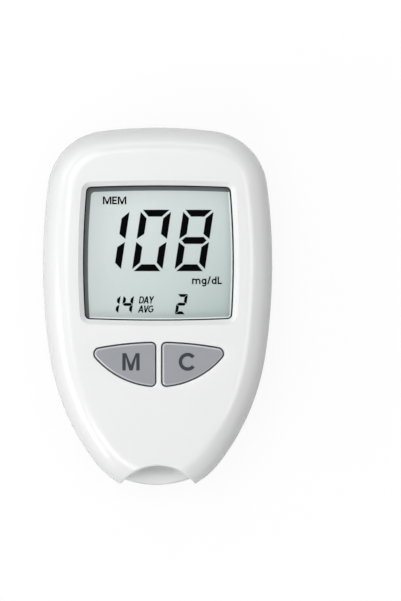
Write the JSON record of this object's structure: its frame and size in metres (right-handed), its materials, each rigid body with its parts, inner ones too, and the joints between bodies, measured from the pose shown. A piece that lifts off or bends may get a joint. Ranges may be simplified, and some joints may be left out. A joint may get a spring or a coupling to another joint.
{
  "type": "blood glucose meter",
  "caption": "Hand-held blood glucose meter with a large display window, split crescent keys, a strip port in a scooped end and a sliding battery door.",
  "frame": {"origin": "middle of the overall box on the plane of the flat back, on which the meter lies", "axes": "+Z out of the display, +Y towards the top end, +X across the width"},
  "size_m": [0.0614, 0.096, 0.0235],
  "materials": {
    "front_shell": "smooth satin-gloss pale plastic",
    "rear_shell": "fine matt pale plastic",
    "clear_lens": "clear polished",
    "black_foam": "matt black",
    "display_glass": "reflective grey-green display",
    "white_plastic": "matt white",
    "dark_rubber": "matt",
    "circuit_board": "green solder mask",
    "black_plastic": "matt black",
    "plated_steel": "nickel plated",
    "ceramic": "ceramic",
    "gold_contact": "gold plated",
    "grey_rubber": "matt silicone",
    "key_plastic": "satin grey",
    "battery_can": "plain printed sleeve"
  },
  "bodies": {
    "meter": {"front_housing": "front_shell", "rear_housing": "rear_shell", "display_lens": "clear_lens", "lens_gasket": "black_foam", "lcd_front_glass": "display_glass", "lcd_rear_glass": "display_glass", "lcd_holder": "white_plastic", "zebra_strip": "dark_rubber", "main_board": "circuit_board", "microcontroller": "black_plastic", "crystal": "plated_steel", "buzzer": "black_plastic", "board_capacitors": "ceramic", "strip_connector": "black_plastic", "strip_contacts": "gold_contact", "keypad_mat": "grey_rubber", "dome_web_m": "grey_rubber", "dome_web_c": "grey_rubber", "battery_left": "battery_can", "battery_right": "battery_can", "battery_bridge": "plated_steel", "battery_plus_contact": "plated_steel", "battery_minus_spring": "plated_steel", "housing_screws": "plated_steel", "board_screws": "plated_steel"},
    "m_key": {"button_m": "key_plastic", "carbon_pill_m": "dark_rubber"},
    "c_key": {"button_c": "key_plastic", "carbon_pill_c": "dark_rubber"},
    "door": {"battery_door": "rear_shell"}
  },
  "joints": [
    {"name": "press_m", "type": "slide", "parent": "meter", "child": "m_key", "axis": [0, 0, -1], "range_m": [0, 0.0008], "stiffness_N_per_m": 1500, "deforming": ["dome_web_m"]},
    {"name": "press_c", "type": "slide", "parent": "meter", "child": "c_key", "axis": [0, 0, -1], "range_m": [0, 0.0008], "stiffness_N_per_m": 1500, "deforming": ["dome_web_c"]},
    {"name": "door_slide", "type": "slide", "parent": "meter", "child": "door", "axis": [0, 1, 0], "range_m": [0, 0.055]}
  ]
}
